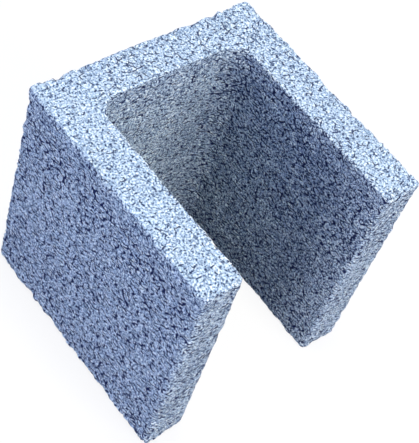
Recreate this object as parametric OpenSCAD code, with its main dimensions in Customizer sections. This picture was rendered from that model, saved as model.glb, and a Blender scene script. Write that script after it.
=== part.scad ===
// U-shaped concrete block: one moulded piece, two face shells joined by a web at the back,
// with a channel between them that is open at the front, the top and the bottom.
// It stands as it was moulded, on the bed face whose walls are the thicker ones.

/* [Overall] */
// Width across the two face shells
width = 190; // [140:5:290]
// Length from the back of the web to the open ends of the shells
length = 190; // [140:5:390]
// Height between the two bed faces
height = 190; // [90:5:290]

/* [Walls] */
// Thickness of each face shell at the top bed face
shell_t = 32; // [25:0.5:40]
// Thickness of the web at the top bed face
web_t = 31; // [25:0.5:40]
// How much thicker each wall is at the bottom bed face, from the taper of the mould's core
core_taper = 2.5; // [0:0.5:5]

/* [Edges] */
// Radius of the channel's two inner corners at the top bed face
inner_corner_r = 18; // [8:0.5:26]
// Rounding of the four upright outer edges
outer_edge_r = 4; // [1:0.5:8]
// Rounding of the two upright edges where the channel opens at the front
mouth_edge_r = 4; // [1:0.5:8]

/* [Hidden] */
$fn = 64;

// How far the core runs past the faces that it cuts
overrun = 10;
// Straight steps in a quarter turn of the core's outline
arc_steps = 8;

concrete = [0.62, 0.69, 0.77];

// What the core's taper takes off each side of the channel at height z
function inset_at(z) = core_taper * (1 - z / height);

// Points along an arc about a centre, from one angle to another
function arc(centre, r, from, to) =
    [for (i = [0:arc_steps]) let (a = from + (to - from) * i / arc_steps)
        centre + r * [cos(a), sin(a)]];

// The channel in plan at height z, anticlockwise from the right-hand side of its mouth
function core_outline(z) =
    let (
        half = width / 2 - shell_t - inset_at(z),
        back = length / 2 - web_t - inset_at(z),
        front = -length / 2,
        corner_r = inner_corner_r - inset_at(z),
        corner = [half - corner_r, back - corner_r],
        mouth = [half + mouth_edge_r, front + mouth_edge_r]
    )
    concat(
        [[mouth.x, front - overrun]],
        arc(mouth, mouth_edge_r, 270, 180),
        arc(corner, corner_r, 0, 90),
        arc([-corner.x, corner.y], corner_r, 90, 180),
        arc([-mouth.x, mouth.y], mouth_edge_r, 0, -90),
        [[-mouth.x, front - overrun]]
    );

function raise(points, z) = [for (p = points) [p.x, p.y, z]];

// The mould's core: the channel's outline carried from below the block to above it
module core() {
    low = -overrun;
    high = height + overrun;
    below = core_outline(low);
    count = len(below);
    sides = [for (i = [0:count - 1]) let (next = (i + 1) % count)
        [i, count + i, count + next, next]];
    polyhedron(
        points = concat(raise(below, low), raise(core_outline(high), high)),
        faces = concat(
            [[for (i = [0:count - 1]) i]],
            [[for (i = [count - 1:-1:0]) count + i]],
            sides
        )
    );
}

// The mould's outer box in plan, with its four corners rounded
module outer_plan() {
    inner_w = width - 2 * outer_edge_r;
    inner_l = length - 2 * outer_edge_r;
    square([inner_w, length], center = true);
    square([width, inner_l], center = true);
    for (x = [-inner_w / 2, inner_w / 2], y = [-inner_l / 2, inner_l / 2])
        translate([x, y]) circle(r = outer_edge_r);
}

module block() {
    color(concrete)
        difference() {
            linear_extrude(height) outer_plan();
            core();
        }
}

block();
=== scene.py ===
# %% [markdown]
# # A U-shaped concrete block
#
# The block is pressed in a steel mould as one piece: two legs and a web around a channel that
# a tapered core leaves open. The imported model gives its exact walls. This lesson gives it what
# a mould leaves behind: a skin broken by pits and by the gaps between grains, edges that
# crumble, and a colour that is a little different in every spot.
#
# First the imported model is loaded as a fixed frame, and its box gives the block's sizes. The
# block's own sizes are in millimetres, up to the cell that makes the mesh. Everything else is in
# metres.

# %% Load the frame
import math

import bpy
import numpy as np
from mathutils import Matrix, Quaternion, Vector


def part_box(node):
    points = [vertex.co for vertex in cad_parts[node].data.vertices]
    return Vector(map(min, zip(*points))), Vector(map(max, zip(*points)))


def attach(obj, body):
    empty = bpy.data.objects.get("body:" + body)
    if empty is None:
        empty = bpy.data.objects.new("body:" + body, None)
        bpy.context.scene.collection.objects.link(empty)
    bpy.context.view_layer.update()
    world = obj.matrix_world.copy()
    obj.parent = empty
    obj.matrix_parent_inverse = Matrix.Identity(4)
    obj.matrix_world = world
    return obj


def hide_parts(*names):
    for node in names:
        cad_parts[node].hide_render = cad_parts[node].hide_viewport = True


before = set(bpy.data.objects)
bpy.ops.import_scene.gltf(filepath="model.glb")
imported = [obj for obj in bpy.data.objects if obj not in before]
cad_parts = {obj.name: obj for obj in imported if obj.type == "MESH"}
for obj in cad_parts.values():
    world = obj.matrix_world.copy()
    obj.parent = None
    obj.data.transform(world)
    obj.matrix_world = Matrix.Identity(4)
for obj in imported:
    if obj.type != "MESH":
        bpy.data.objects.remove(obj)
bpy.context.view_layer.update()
block_low, block_high = (np.array(corner) * 1000 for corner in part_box("block"))
width, length, height = block_high - block_low
print("block, mm:", width.round(2), length.round(2), height.round(2))

# %% [markdown]
# ## The camera
#
# The photograph looks down on the block from the side of its left leg, with the camera tipped
# over to one side. A long lens keeps the upright edges nearly parallel. The place, the aim and
# the roll were fitted to the block's edges, and the lens to how fast those edges draw together.

# %% The camera
camera_place = Vector((-0.45594, -0.32481, 0.79112))
camera_aim = Vector((0.00822, -0.0056, 0.095))
camera_roll = math.radians(21.5441)

camera_data = bpy.data.cameras.new("camera")
camera_data.sensor_width = 36.0
camera_data.lens = 100.953
camera = bpy.data.objects.new("camera", camera_data)
bpy.context.scene.collection.objects.link(camera)
camera.location = camera_place
level = (camera_aim - camera_place).to_track_quat("-Z", "Y")
camera.rotation_mode = "QUATERNION"
camera.rotation_quaternion = level @ Quaternion((0, 0, 1), camera_roll)
bpy.context.scene.camera = camera
print("camera at", tuple(round(c, 3) for c in camera_place), "lens", camera_data.lens)

# %% [markdown]
# ## The plan of the walls
#
# Seen from above the block is one closed outline: along the end of the left leg, around the
# channel, along the end of the right leg and back around the outside. It could be cut from a
# cube with a boolean, but a grid that runs with the walls takes relief far better, so the
# outline is written down as arcs joined by straight runs and then spread into even steps.
#
# The core tapers, so the outline at the floor has thicker walls than the one at the top. Both
# are made by the same function, with the same number of points in the same order.

# %% Runs of points
def arc(centre, radius, start, end, steps=10):
    """Points at one radius from a centre, at equal angles from start to end, in degrees."""
    turn = np.radians(np.linspace(start, end, steps + 1))
    return np.array(centre) + radius * np.column_stack((np.cos(turn), np.sin(turn)))


def spread(runs, steps):
    """Points at equal lengths along several runs of points that follow each other."""
    points = np.concatenate(runs)
    along = np.concatenate(([0.0], np.cumsum(np.hypot(*np.diff(points, axis=0).T))))
    at = np.linspace(0, along[-1], steps + 1)
    return np.column_stack([np.interp(at, along, points[:, k]) for k in (0, 1)])


def mirror_x(points):
    """The same points on the other side of the plane between the legs, in reverse order."""
    return points[::-1] * np.array([-1.0, 1.0])


print("a quarter turn:", len(arc((0, 0), 1.0, 0, 90)), "points")

# %% The outline in plan
shell_t = 32.0
web_t = 31.0
core_taper = 2.5
inner_corner_r = 18.0
edge_r = 4.0

path_steps_leg = 114
path_steps_web = 112
across_steps = 19
path_steps = 2 * path_steps_leg + path_steps_web
loop_steps = 2 * (path_steps + across_steps)


def wall_outline(inset):
    """The closed outline, anticlockwise from the left leg's outer front corner: the left end,
    the channel's side, the right end and the outer side, each ending in the middle of a
    rounded corner. Inset is how far the core's taper brings the channel's walls inwards."""
    half = width / 2 - shell_t - inset
    back = length / 2 - web_t - inset
    corner_r = inner_corner_r - inset
    front_y = -length / 2 + edge_r
    back_y = length / 2 - edge_r
    outer_x = width / 2 - edge_r
    mouth = (-half - edge_r, front_y)
    corner = (corner_r - half, back - corner_r)

    end = spread([arc((-outer_x, front_y), edge_r, 225, 270), arc(mouth, edge_r, 270, 315)],
                 across_steps)
    inner_leg = spread([arc(mouth, edge_r, -45, 0), arc(corner, corner_r, 180, 135)],
                       path_steps_leg)
    inner_web = spread([arc(corner, corner_r, 135, 90),
                        mirror_x(arc(corner, corner_r, 135, 90))], path_steps_web)
    outer_leg = spread([arc((outer_x, front_y), edge_r, -45, 0),
                        arc((outer_x, back_y), edge_r, 0, 45)], path_steps_leg)
    outer_web = spread([arc((outer_x, back_y), edge_r, 45, 90),
                        arc((-outer_x, back_y), edge_r, 90, 135)], path_steps_web)
    runs = [end, inner_leg, inner_web, mirror_x(inner_leg), mirror_x(end),
            outer_leg, outer_web, mirror_x(outer_leg)]
    return np.concatenate([run[:-1] for run in runs])


def outward(outline):
    """The direction out of the wall at each point: the step from the point before to the
    point after, turned a quarter to the right."""
    step = np.roll(outline, -1, axis=0) - np.roll(outline, 1, axis=0)
    return np.column_stack((step[:, 1], -step[:, 0])) / np.hypot(*step.T)[:, None]


outline_top = wall_outline(0.0)
outline_bottom = wall_outline(core_taper)
outline_out = outward(outline_top)
in_channel = np.abs(np.arange(loop_steps) - across_steps - path_steps / 2) < path_steps / 2
outline_step = np.hypot(*(np.roll(outline_top, -1, axis=0) - outline_top).T)
print("outline:", len(outline_top), "points,", outline_step.sum().round(0), "mm round")

# %% [markdown]
# ## Repeatable randomness
#
# Concrete is random, but the script has to give the same block each time. So every random
# number here comes from the place it belongs to: a point's cell in a lattice is hashed to a
# number, with no random generator at all. Two patterns are built on it. Smooth noise blends
# the numbers at a cell's eight corners. Grains put one seed point into every cell and measure
# how far the nearest two are, which gives rounded stones with gaps between them. The last
# number in each call is a seed, so that no two patterns are alike.

# %% Noise and grains
cell_factors = np.array([73856093, 19349663, 83492791], dtype=np.uint32)
seed_factor = 2654435761
mixing_steps = ((16, 0x7FEB352D), (15, 0x846CA68B))
last_shift = 16


def lattice_random(cell, seed):
    """One number from 0 to 1 for each cell: its three whole numbers and the seed are
    multiplied by large odd numbers, joined and mixed by shifts, all in 32 bits."""
    whole = cell.astype(np.int64).astype(np.uint32)
    mixed = np.bitwise_xor.reduce(whole * cell_factors, axis=-1)
    mixed = mixed ^ np.uint32(seed * seed_factor % 2**32)
    for shift, factor in mixing_steps:
        mixed = (mixed ^ (mixed >> np.uint32(shift))) * np.uint32(factor)
    return (mixed ^ (mixed >> np.uint32(last_shift))) / 2.0**32


def smooth_noise(points, size, seed):
    """Numbers from -1 to 1 that change smoothly over about one size: the eight corners of a
    point's cell, weighted by how near it is to each, with eased weights."""
    scaled = points / size
    cell = np.floor(scaled)
    part = scaled - cell
    ease = part * part * (3 - 2 * part)
    total = np.zeros(len(points))
    for corner in np.ndindex(2, 2, 2):
        weight = np.where(corner, ease, 1 - ease).prod(axis=1)
        total += weight * lattice_random(cell + corner, seed)
    return 2 * total - 1


def grains(points, size, seed):
    """How far the nearest and the second nearest seed point are, in sizes, and a random
    number that belongs to the nearest. Each cell holds one seed point."""
    scaled = points / size
    cell = np.floor(scaled)
    first = np.full(len(points), np.inf)
    second = first.copy()
    own = np.zeros(len(points))
    for step in np.ndindex(3, 3, 3):
        near = cell + np.array(step) - 1
        place = np.column_stack([lattice_random(near, seed + k) for k in (0, 1, 2)])
        away = np.linalg.norm(near + place - scaled, axis=1)
        closer = away < first
        second = np.where(closer, first, np.minimum(second, away))
        own = np.where(closer, lattice_random(near, seed + 3), own)
        first = np.where(closer, away, first)
    return first, second, own


def ramp(values, low, high):
    """0 below low, 1 above high, eased between them."""
    part = np.clip((values - low) / (high - low), 0, 1)
    return part * part * (3 - 2 * part)


test = smooth_noise(np.column_stack([np.arange(2000.0)] * 3), 7.0, 1)
print("noise from", test.min().round(2), "to", test.max().round(2))

# %% [markdown]
# ## The walls as one closed surface
#
# The sides are a grid: around the outline one way and up the wall the other way, with a
# quarter-round at the floor and at the top. The radius of that round changes along the edge,
# because wet concrete crumbles there when the mould comes off. The top and the bottom are each
# filled by a patch blended between the channel's side, the outer side and the two ends. The
# patches share their border points with the sides, so the surface is closed.

# %% The sides
wall_rows = 112
round_rows = 3
floor_round = (0.8, 2.2)
inner_round = (0.5, 1.2)
outer_round = (1.0, 4.2)


def edge_rounds(least, most, seed):
    """The radius of the rounded edge at each outline point: noise along the edge, with its
    peaks drawn out, between a least and a most radius."""
    line = np.column_stack((outline_top, np.zeros(len(outline_top))))
    rough = 0.5 + 0.35 * smooth_noise(line, 11.0, seed) + 0.25 * smooth_noise(line, 4.0, seed + 1)
    return least + (most - least) * np.clip(rough, 0, 1) ** 2


def wall_grid():
    """Rows of outline points from the floor up. A row has a height and a depth into the wall:
    at the rounds they follow a quarter circle, and between them the depth is nought."""
    turn = np.radians(np.linspace(90, 0, round_rows + 1))[:, None]
    low_r = edge_rounds(*floor_round, 11)
    high_r = np.where(in_channel, edge_rounds(*inner_round, 21), edge_rounds(*outer_round, 21))
    low = low_r * (1 - np.sin(turn)), low_r * (1 - np.cos(turn))
    high = height - high_r * (1 - np.sin(turn[::-1])), high_r * (1 - np.cos(turn[::-1]))
    part = np.linspace(0, 1, wall_rows + 1)[1:-1, None]
    between = low[0][-1] + (high[0][0] - low[0][-1]) * part
    z = np.concatenate((low[0], between, high[0]))
    depth = np.concatenate((low[1], np.zeros_like(between), high[1]))
    share = (z / height)[..., None]
    plan = outline_bottom * (1 - share) + outline_top * share - depth[..., None] * outline_out
    return np.concatenate((plan, z[..., None]), axis=2)


sides = wall_grid()
side_ids = np.arange(sides.shape[0] * loop_steps).reshape(sides.shape[0], loop_steps)
print("sides:", sides.shape[0], "rows of", sides.shape[1], "points")

# %% The patches for the top and the bottom
def patch_ids():
    """Which outline point lies at each border place of a patch, by steps along and across."""
    ids = np.full((path_steps + 1, across_steps + 1), -1)
    along, across = np.arange(path_steps + 1), np.arange(across_steps + 1)
    ids[0] = across_steps - across
    ids[-1] = across_steps + path_steps + across
    ids[:, 0] = across_steps + along
    ids[:, -1] = (loop_steps - along) % loop_steps
    return ids


def patch(border_row, ids):
    """A surface between four border curves: the blend of the two long ones, plus the blend of
    the two short ones, less the blend of the four corners."""
    p = np.linspace(0, 1, path_steps + 1)[:, None, None]
    q = np.linspace(0, 1, across_steps + 1)[None, :, None]
    inner, outer = border_row[ids[:, :1]], border_row[ids[:, -1:]]
    left, right = border_row[ids[:1]], border_row[ids[-1:]]
    long_way = (1 - q) * inner + q * outer
    short_way = (1 - p) * left + p * right
    corners = ((1 - p) * ((1 - q) * inner[:1] + q * outer[:1])
               + p * ((1 - q) * inner[-1:] + q * outer[-1:]))
    return long_way + short_way - corners


border = patch_ids()
inside = border < 0
print("patch:", border.shape, "points,", inside.sum(), "of them inside the border")

# %% [markdown]
# The material's patterns lie on a map of the skin: the way around the outline and up the wall
# for the sides, and the plan for the top and the bottom, moved aside so that the two don't
# repeat each other. The upward way is stretched, which makes the grains wider than high.

# %% One surface, and the map of its skin
stretch_inside = (0.85, 1.7)
stretch_outside = (0.9, 1.75)
bed_shift = 2 * length


def quads(grid):
    """The four corners of each cell of a grid, of point numbers or of anything else."""
    corners = (grid[:-1, :-1], grid[1:, :-1], grid[1:, 1:], grid[:-1, 1:])
    return np.stack(corners, axis=2).reshape(-1, 4, *grid.shape[2:])


side_columns = np.append(np.arange(loop_steps), 0)
side_up = sides[:, side_columns, 2].T
side_along = np.append(0.0, np.cumsum(outline_step))[:, None] + 0.0 * side_up
stretch = np.where(in_channel[:, None], stretch_inside, stretch_outside)
stretch = np.repeat(stretch, sides.shape[0] - 1, axis=0)[:, None]
flat_points = [sides.reshape(-1, 3)]
faces = [quads(side_ids[:, side_columns].T)]
skin = [quads(np.stack((side_along, side_up), axis=2)) * stretch]
is_bed = [np.zeros(side_ids.size)]
for row, facing in ((0, -1), (-1, 1)):
    count = sum(len(points) for points in flat_points)
    ids = np.where(inside, 0, side_ids[row][border])
    ids[inside] = count + np.arange(inside.sum())
    grid = patch(sides[row], border)
    flat_points.append(grid[inside])
    faces.append(quads(ids)[:, ::facing])
    skin.append(quads(grid[..., :2] - bed_shift)[:, ::facing])
    is_bed.append(np.full(inside.sum(), float(facing)))
flat_points = np.concatenate(flat_points)
faces = np.concatenate(faces)
skin = np.concatenate(skin)
is_bed = np.concatenate(is_bed)
print("surface:", len(flat_points), "points,", len(faces) * 2, "triangles")

# %% [markdown]
# ## Pits, gaps, lumps and crumbled edges
#
# The mould presses the mix flat, but not smooth. Where the mix was dry, gaps stay open between
# the grains, and some grains sink or fall out and leave pits. Low lumps stay where it was
# pressed less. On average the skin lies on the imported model's faces: grains stand up to about a
# millimetre proud of them, and gaps, pits and chips go deeper. Relief like this could be a
# displacement texture, but here it is computed for all points at once and moved along the
# surface's own direction.

# %% Which way is out
def directions(points):
    """The direction out of the surface at each point: the sum of the directions of the faces
    around it, each found from its two diagonals."""
    a, b, c, d = (points[faces[:, k]] for k in range(4))
    face_out = np.cross(c - a, d - b)
    total = np.zeros_like(points)
    for k in range(4):
        np.add.at(total, faces[:, k], face_out)
    return total / np.linalg.norm(total, axis=1)[:, None]


out = directions(flat_points)
inner_share = np.zeros((len(flat_points), 2))
inner_share[:side_ids.size] = np.tile(in_channel[:, None] * outline_out ** 2, (sides.shape[0], 1))
leg_inside, web_inside = inner_share.T
print("points inside the channel:", np.count_nonzero(leg_inside + web_inside))

# %% [markdown]
# The mix didn't stay equally open everywhere. Along the top edge of the left leg's outer face
# runs a ragged band that was pressed closed, and in the row below it the mix was pushed down and
# came apart. The foot of that face is looser, with more gaps and pits, so that it is darker
# towards the floor. The legs' ends, the top, most of all that of the left leg, and the web's
# inner face are closed a little more than the rest.

# %% How open the mix stayed
band_low, band_high = height - 14, height - 9
band_raggedness = 6.0
row_low, row_high = (height - 42, height - 30), (height - 24, height - 14)
foot_heights = (15.0, 60.0)
end_reach, outside_reach = (2.0, 6.0), (4.0, 12.0)
left_top_reach = (-75.0, -35.0)
outside_loose, row_loose, foot_loose = 0.1, 0.3, 0.3
band_closed, end_closed, web_closed = 0.75, 0.15, 0.4
top_closed, left_top_closed = 0.1, 0.6


def openness(points):
    """How open the mix stayed at each point, from about -1, closed, to 1, loose: noise of two
    sizes, plus what the face that the point lies on adds or takes away."""
    x, y, z = points.T
    loose = 0.25 * smooth_noise(points, 16.0, 31) + 0.2 * smooth_noise(points, 6.0, 32)
    edge_z = z + band_raggedness * smooth_noise(points * (1, 1, 0), 24.0, 33)
    band = ramp(edge_z, band_low, band_high)
    row = ramp(z, *row_low) * (1 - ramp(z, *row_high))
    foot = 1 - ramp(z, *foot_heights)
    end = 1 - ramp(y + length / 2, *end_reach)
    outside = 1 - ramp(x + width / 2, *outside_reach)
    wall = row_loose * row + foot_loose * foot - band_closed * band + outside_loose
    wall = wall * outside - end_closed * end
    top = -top_closed - left_top_closed * (1 - ramp(x, *left_top_reach))
    return loose + np.where(is_bed == 0, wall, top) - web_closed * web_inside


loose = openness(flat_points)
print("openness: from", loose.min().round(2), "to", loose.max().round(2))

# %% Pits and gaps
grain_size, small_grain_size, pit_spacing = 6.2, 3.6, 7.5
gap_reach, small_gap_reach = (0.02, 0.30), (0.0, 0.4)
gap_least, gap_more, small_gap_most = 0.1, 0.8, 0.3
sunk_most, pit_most = 0.3, 1.3
open_range, fell_range, loose_falls = (-0.5, 0.7), (0.5, 0.8), 0.3
floor_relief = 0.3


def pit_depth(points):
    """How deep each point lies below the highest grains, in mm: gaps along the borders of two
    sizes of grain, deeper where the mix is loose, grains that sank, and round pits."""
    open_share = ramp(loose, *open_range)
    first, second, own = grains(points, grain_size, 41)
    gaps = (1 - ramp(second - first, *gap_reach)) * (gap_least + gap_more * open_share)
    sunk = sunk_most * own
    first, second, _ = grains(points, small_grain_size, 51)
    small_gaps = (1 - ramp(second - first, *small_gap_reach)) * small_gap_most * open_share
    away, _, own = grains(points, pit_spacing, 61)
    fell_out = ramp(own + loose_falls * loose, *fell_range)
    pits = pit_most * (1 - ramp(away, 0.05, 0.10 + 0.24 * own)) * fell_out
    return gaps + small_gaps + sunk + pits


depth = pit_depth(flat_points)
depth = np.where(is_bed < 0, floor_relief * depth, depth)
print("pits and gaps, mm: mean", depth.mean().round(2), "deepest", depth.max().round(2))

# %% Chips and lumps
chip_most = 2.0
chip_reach, chip_range = (1.0, 6.5), (0.0, 0.9)
lump_flatness = 1.7
wall_lumps, top_lumps = 0.5, 0.25
mean_depth = 0.45


def edge_distance(points):
    """How far each point is from the nearest outer edge, in mm: of its distances to the outer
    sides, the front and back, the top and the floor, the smallest belongs to the face that it
    lies on, and the second smallest to the next face over the edge. The channel's own edges
    don't count."""
    x, y, z = np.abs(points[:, 0]), np.abs(points[:, 1]), points[:, 2]
    return np.partition(np.stack((width / 2 - x, length / 2 - y, height - z, z)), 1, axis=0)[1]


def chip_depth(points):
    """How much has broken off near the edges, in mm: noise of two sizes, cut off so that most
    of the edge stays whole, and faded out away from the edge."""
    near = 1 - ramp(edge_distance(points), *chip_reach)
    broken = smooth_noise(points, 6.5, 71) + 0.6 * smooth_noise(points, 2.8, 72)
    return chip_most * near * ramp(broken, *chip_range)


def lumps(points):
    """Low lumps about nought: noise of two sizes on points whose heights are stretched, so that
    a lump is longer along the wall than it is high."""
    flattened = points * (1.0, 1.0, lump_flatness)
    return smooth_noise(flattened, 11.0, 81) + 0.7 * smooth_noise(flattened, 6.0, 82)


depth = depth + chip_depth(flat_points)
lump_height = np.select([is_bed == 0, is_bed > 0], [wall_lumps, top_lumps], 0.0)
depth = depth + lump_height * lumps(flat_points)
relief = mean_depth - depth
points = flat_points + relief[:, None] * out
points[:, 2] = np.maximum(points[:, 2], 0)
print("relief, mm: from", relief.min().round(2), "to", relief.max().round(2))

# %% [markdown]
# The points and faces now become a mesh in metres. It carries four numbers at each point for
# the material: how deep it lies in the relief, how loose the mix is, how far it faces up, and
# how far it belongs to a leg's inner face.

# %% The block's mesh
mesh = bpy.data.meshes.new("concrete_block")
mesh.from_pydata((points / 1000).tolist(), [], faces.tolist())
mesh.shade_smooth()
carried_values = {"pit": depth, "loose": loose, "bed": np.clip(out[:, 2], 0, 1),
                  "channel": leg_inside}
for name, values in carried_values.items():
    mesh.attributes.new(name, "FLOAT", "POINT").data.foreach_set("value", values)
mesh.uv_layers.new(name="skin").uv.foreach_set("vector", skin.ravel() / 1000)
block = bpy.data.objects.new("concrete_block", mesh)
bpy.context.scene.collection.objects.link(block)
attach(block, "root")
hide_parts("block")
print("mesh:", len(mesh.vertices), "points,", len(mesh.polygons), "faces")

# %% [markdown]
# ## The concrete
#
# The colour is a pale blue grey on the grains, and dark where light can't get in. The mesh
# carries the depth of its own pits, and finer pits and gaps, too small for the mesh, come from
# cell textures. The same pattern drives the colour and the bump, so that each dark spot is also
# a hollow.
#
# A material is a tree of nodes. The helpers below add nodes to the tree that is being built,
# which is always called tree, and hand back sockets, so that a pattern reads like a sum.

# %% Nodes that do sums
def add(kind, **values):
    """A new node in the tree, with values for its properties."""
    node = tree.nodes.new(kind)
    for name, value in values.items():
        setattr(node, name, value)
    return node


def feed(socket, value):
    """Links another node's socket to this one, or sets this one to a plain value."""
    if isinstance(value, bpy.types.NodeSocket):
        tree.links.new(value, socket)
    else:
        socket.default_value = value


def math_node(operation, first, second, clamp=False):
    """The result of a sum on two sockets or numbers, kept from 0 to 1 where clamp is set."""
    node = add("ShaderNodeMath", operation=operation, use_clamp=clamp)
    feed(node.inputs[0], first)
    feed(node.inputs[1], second)
    return node.outputs[0]


def times(first, second):
    """The first multiplied by the second."""
    return math_node("MULTIPLY", first, second)


def plus(first, second):
    """The first and the second added."""
    return math_node("ADD", first, second)


def less(first, second):
    """The second taken away from the first."""
    return math_node("SUBTRACT", first, second)


def larger(first, second):
    """Whichever of the two is larger."""
    return math_node("MAXIMUM", first, second)


def raised(share, amount):
    """A factor that is 1 where a share is nought, and an amount more where it is 1."""
    return plus(times(share, amount), 1.0)


def eased(value, low, high, to_low=0.0, to_high=1.0):
    """A socket's value carried from one range to another, eased at both ends."""
    node = add("ShaderNodeMapRange", interpolation_type="SMOOTHSTEP")
    numbers = {"Value": value, "From Min": low, "From Max": high,
               "To Min": to_low, "To Max": to_high}
    for name, number in numbers.items():
        feed(node.inputs[name], number)
    return node.outputs["Result"]


print("sums:", [f.__name__ for f in (times, plus, less, larger, raised, eased)])

# %% Nodes that read the mesh and make textures
def carried(name):
    """The number that the mesh carries at each point under a name."""
    return add("ShaderNodeAttribute", attribute_name=name).outputs["Fac"]


def noise_node(scale, detail, source):
    """Smooth noise at a place, with a number of finer noises added on top."""
    node = add("ShaderNodeTexNoise")
    feed(node.inputs["Scale"], scale)
    feed(node.inputs["Detail"], detail)
    feed(node.inputs["Vector"], source)
    return node


def cells_node(scale, feature, source):
    """Cells around random seed points on a flat map: distances to a seed or to a border."""
    node = add("ShaderNodeTexVoronoi", feature=feature, voronoi_dimensions="2D")
    feed(node.inputs["Scale"], scale)
    feed(node.inputs["Vector"], source)
    return node


wobble_scale, wobble_size = 500, 0.0022

concrete = bpy.data.materials.new("pressed_concrete")
concrete.use_nodes = True
tree = concrete.node_tree
place = add("ShaderNodeTexCoord").outputs["Object"]
skin_place = add("ShaderNodeAttribute", attribute_name="skin").outputs["Vector"]
top_share, loose_mix = carried("bed"), carried("loose")
leg_share, mesh_pit = carried("channel"), carried("pit")

wobble = add("ShaderNodeVectorMath", operation="MULTIPLY_ADD")
feed(wobble.inputs[0], noise_node(wobble_scale, 2, place).outputs["Color"])
feed(wobble.inputs[1], (wobble_size,) * 3)
feed(wobble.inputs[2], skin_place)
crooked = wobble.outputs[0]
print("places and carried numbers:", len(tree.nodes), "nodes")

# %% [markdown]
# Gaps follow the borders between the cells of a texture on a crooked map of the skin. A noise
# leaves only some of the borders open, more of them where the mix is loose, so the gaps are
# short, taper and seldom close to a ring.

# %% Gaps between grains
top_thin, leg_thin = 0.85, 0.1
gap_soft, rim_reach, bulge_reach = 0.05, 0.14, 0.45
fine_gap_dark = 0.7


def grain_gaps(scale, half_width, break_scale, closed, opened, gain):
    """Three patterns of one size of grain: the gaps between grains, later painted dark as shade,
    the rims on both sides of a gap, later painted light as a highlight, and how far each grain
    bulges, later painted as shade towards the grain's border. A gap is where the distance to the
    border is less than its half width, times how open a noise leaves it from closed to opened.
    Gain is how much a loose mix adds to that noise. On the top and the legs' inner faces
    distances count for more, so gaps are thinner."""
    edge = cells_node(scale, "DISTANCE_TO_EDGE", crooked).outputs["Distance"]
    edge = times(edge, plus(plus(times(top_share, top_thin), times(leg_share, leg_thin)), 1.0))
    noise = noise_node(break_scale, 1, skin_place).outputs["Fac"]
    open_share = eased(plus(noise, times(loose_mix, gain)), closed, opened)
    beyond = less(edge, times(open_share, half_width))
    gap = eased(beyond, -gap_soft, 0.0, 1, 0)
    rim = times(eased(beyond, 0.0, rim_reach, 1, 0), open_share)
    return gap, rim, eased(edge, 0.0, bulge_reach)


wide_gap, wide_rim, wide_bulge = grain_gaps(
    scale=175, half_width=0.2, break_scale=190, closed=0.525, opened=0.565, gain=0.12)
fine_gap, fine_rim, fine_bulge = grain_gaps(
    scale=360, half_width=0.22, break_scale=260, closed=0.52, opened=0.56, gain=0.04)
rim = larger(wide_rim, fine_rim)
gap = larger(wide_gap, times(fine_gap, fine_gap_dark))
print("with gaps:", len(tree.nodes), "nodes")

# %% Small pits
pit_scale, pit_chance, pit_growth, pit_soft = 260, 0.6, 0.6, 0.1
pit_loose_gain, pit_top_gain = 0.15, 0.25
pit_dark, top_pale = 0.8, 0.05
# How deep the mesh's relief must lie before it is painted dark as shade, and the most of that
# painted shade.
mesh_pit_from, mesh_pit_to, mesh_pit_shade = 0.8, 2.2, 0.35


def small_pits():
    """Round holes, one in each cell whose random number is above a chance, and the wider the
    further it is above it. A loose mix and the top add to the number."""
    cells = cells_node(pit_scale, "F1", crooked)
    own = add("ShaderNodeSeparateColor")
    feed(own.inputs[0], cells.outputs["Color"])
    share = plus(own.outputs[0], times(loose_mix, pit_loose_gain))
    share = plus(share, times(top_share, pit_top_gain))
    radius = times(plus(share, -pit_chance), pit_growth)
    return eased(less(cells.outputs["Distance"], radius), -pit_soft, 0.0, 1, 0)


# The gaps, the small pits and the deep places of the mesh's relief are painted dark as shade, a
# little less on the top; the bump sinks the same hollows.
gap = larger(gap, times(small_pits(), pit_dark))
gap = times(gap, less(1.0, times(top_share, top_pale)))
hollow = larger(gap, eased(mesh_pit, mesh_pit_from, mesh_pit_to, 0, mesh_pit_shade))
print("with pits:", len(tree.nodes), "nodes")

# %% [markdown]
# The tone starts at a half. Fine grit and broad patches move it both ways. Rims are made
# lighter as a painted highlight, and bulging grains lighter in the middle and darker towards
# their borders as painted shade. A skin of cement that was pressed closed is a little darker.
# Hollows take it down to the dark end, as painted shade.

# %% The tone
grit_scale, grit_flatness, grit_amount = 700, 1.3, 3.1
patch_scale, patch_amount = 90, 0.3
top_grit, leg_grit, leg_bulge = -0.15, 0.7, 0.6
rim_painted_highlight, wide_bulge_shade, fine_bulge_shade = 0.6, 0.2, 0.14
mean_bulge = 0.45 * (wide_bulge_shade + fine_bulge_shade)
skin_closed, skin_open, skin_dark = -0.6, -0.2, 0.1

flat_place = add("ShaderNodeMapping")
feed(flat_place.inputs["Scale"], (1.0, 1.0, grit_flatness))
feed(flat_place.inputs["Vector"], place)
fine_grit = plus(noise_node(grit_scale, 1, flat_place.outputs[0]).outputs["Fac"], -0.5)
fine_grit = times(times(fine_grit, grit_amount), raised(top_share, top_grit))
patches = times(plus(noise_node(patch_scale, 1, place).outputs["Fac"], -0.5), patch_amount)
grit = times(plus(fine_grit, patches), raised(leg_share, leg_grit))
# The rims beside open gaps are painted lighter, as a highlight.
grit = plus(grit, plus(times(rim, rim_painted_highlight), 0.5))

# Each grain is painted lighter in the middle and darker towards its border, as shade on a bulge,
# more so on the legs' inner faces; the same bulge also raises the bump.
bulge = plus(times(wide_bulge, wide_bulge_shade), times(fine_bulge, fine_bulge_shade))
bulge = times(plus(bulge, -mean_bulge), raised(leg_share, leg_bulge))
closed_skin = times(eased(loose_mix, skin_closed, skin_open, 1, 0), less(1.0, top_share))
grit = plus(plus(grit, bulge), times(closed_skin, -skin_dark))
tone = math_node("MULTIPLY", grit, less(1.0, hollow), clamp=True)
print("with the tone:", len(tree.nodes), "nodes")

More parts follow.
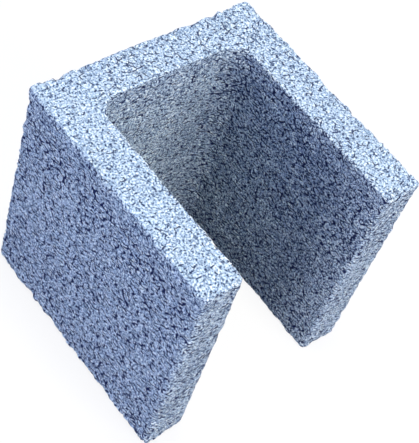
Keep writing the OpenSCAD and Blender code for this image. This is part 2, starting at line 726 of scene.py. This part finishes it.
# %% The colour and the bump
# The dark end of the colours is the painted shade of hollows; the light end is reached by the
# lightest grit and by the rims' painted highlight.
dark_colour = (0.012, 0.022, 0.085, 1)
middle_colour = (0.43, 0.59, 0.75, 1)
light_colour = (0.90, 1.0, 1.0, 1)
bump_grit, bump_bulge = 0.1, 4.6

shader = tree.nodes["Principled BSDF"]
paint = add("ShaderNodeValToRGB")
feed(paint.inputs["Fac"], tone)
stops = paint.color_ramp.elements
stops[0].position, stops[0].color = 0.0, dark_colour
stops[1].position, stops[1].color = 1.0, light_colour
stops.new(0.5).color = middle_colour
feed(shader.inputs["Base Color"], paint.outputs["Color"])
feed(shader.inputs["Roughness"], 0.92)
feed(shader.inputs["Specular IOR Level"], 0.25)

bump = add("ShaderNodeBump")
feed(bump.inputs["Strength"], 0.8)
feed(bump.inputs["Distance"], 0.001)
feed(bump.inputs["Height"], less(plus(times(grit, bump_grit), times(bulge, bump_bulge)), hollow))
feed(shader.inputs["Normal"], bump.outputs["Normal"])
mesh.materials.append(concrete)
print("material:", concrete.name, "with", len(tree.nodes), "nodes")

# %% [markdown]
# ## Floor and light
#
# The floor is plain and white to the camera. Only part of it is lit like a real floor, so the
# block's shadow stays, but faint. To the light that bounces off it the floor is dull, so that
# the walls stay dark near the ground. A soft box overhead lights the top, one in front of the
# open end lights the legs' ends and the web inside the channel, and low ones on the left, the
# right and the back light the outer faces. A blue sky fills the rest.

# %% The floor
floor_half, floor_z = 4, -0.0004
floor_grey, floor_white = (0.12, 0.12, 0.12, 1), (0.95, 0.95, 0.95, 1)
floor_glow = 0.86


def mix_shaders(share, first, second):
    """Two shaders blended, with the share that the second one has."""
    blend = add("ShaderNodeMixShader")
    feed(blend.inputs["Fac"], share)
    feed(blend.inputs[1], first.outputs[0])
    feed(blend.inputs[2], second.outputs[0])
    return blend


def seen_directly():
    """1 for rays from the camera, and for those that a gloss or a glass passes on."""
    rays = add("ShaderNodeLightPath").outputs
    return larger(larger(rays["Is Camera Ray"], rays["Is Glossy Ray"]), rays["Is Transmission Ray"])


floor_mesh = bpy.data.meshes.new("floor")
floor_mesh.from_pydata([(floor_half * x, floor_half * y, floor_z)
                        for x, y in ((-1, -1), (1, -1), (1, 1), (-1, 1))], [], [(0, 1, 2, 3)])
floor = bpy.data.objects.new("floor", floor_mesh)
bpy.context.scene.collection.objects.link(floor)

floor_paint = bpy.data.materials.new("white_floor")
floor_paint.use_nodes = True
tree = floor_paint.node_tree
tree.nodes.remove(tree.nodes["Principled BSDF"])
dull = add("ShaderNodeBsdfDiffuse")
feed(dull.inputs["Color"], floor_grey)
chalk = add("ShaderNodeBsdfDiffuse")
feed(chalk.inputs["Color"], floor_white)
glow = add("ShaderNodeEmission")
feed(glow.inputs["Strength"], 1.0)
surface = mix_shaders(seen_directly(), dull, mix_shaders(floor_glow, chalk, glow))
feed(tree.nodes["Material Output"].inputs["Surface"], surface.outputs[0])
floor_mesh.materials.append(floor_paint)
print("floor:", floor_paint.name)

# %% The lamps
lamp_aim = Vector((0, 0, 0.1))


def soft_box(name, place, size, power, colour):
    """A square lamp at a place, facing the block."""
    data = bpy.data.lights.new(name, "AREA")
    data.size = size
    data.energy = power
    data.color = colour
    lamp = bpy.data.objects.new(name, data)
    bpy.context.scene.collection.objects.link(lamp)
    lamp.location = place
    lamp.rotation_euler = (lamp_aim - Vector(place)).to_track_quat("-Z", "Y").to_euler()


soft_box("overhead", (0.0, 0.0, 2.0), 0.5, 22.8, (1.0, 0.97, 0.72))
soft_box("front", (0.22, -1.5, 0.75), 0.9, 19.0, (1.0, 0.92, 0.78))
soft_box("left", (-1.45, -0.3, 0.18), 0.5, 11.3, (0.88, 0.88, 1.0))
soft_box("right", (1.5, 0.3, 0.25), 0.8, 10.0, (0.88, 0.88, 1.0))
soft_box("back", (0.0, 1.5, 0.25), 0.8, 10.0, (0.95, 0.92, 0.95))

# %% The sky
world = bpy.data.worlds.new("sky")
bpy.context.scene.world = world
world.use_nodes = True
tree = world.node_tree
sky = tree.nodes["Background"]
feed(sky.inputs["Color"], (0.38, 0.49, 1.0, 1))
feed(sky.inputs["Strength"], 0.74)
white = add("ShaderNodeBackground")
feed(white.inputs["Color"], (1.0, 1.0, 1.0, 1))
feed(white.inputs["Strength"], 1.0)
surface = mix_shaders(seen_directly(), sky, white)
feed(tree.nodes["World Output"].inputs["Surface"], surface.outputs[0])
bpy.context.scene.view_settings.view_transform = "Standard"
print("sky:", world.name, "with", len(tree.nodes), "nodes")
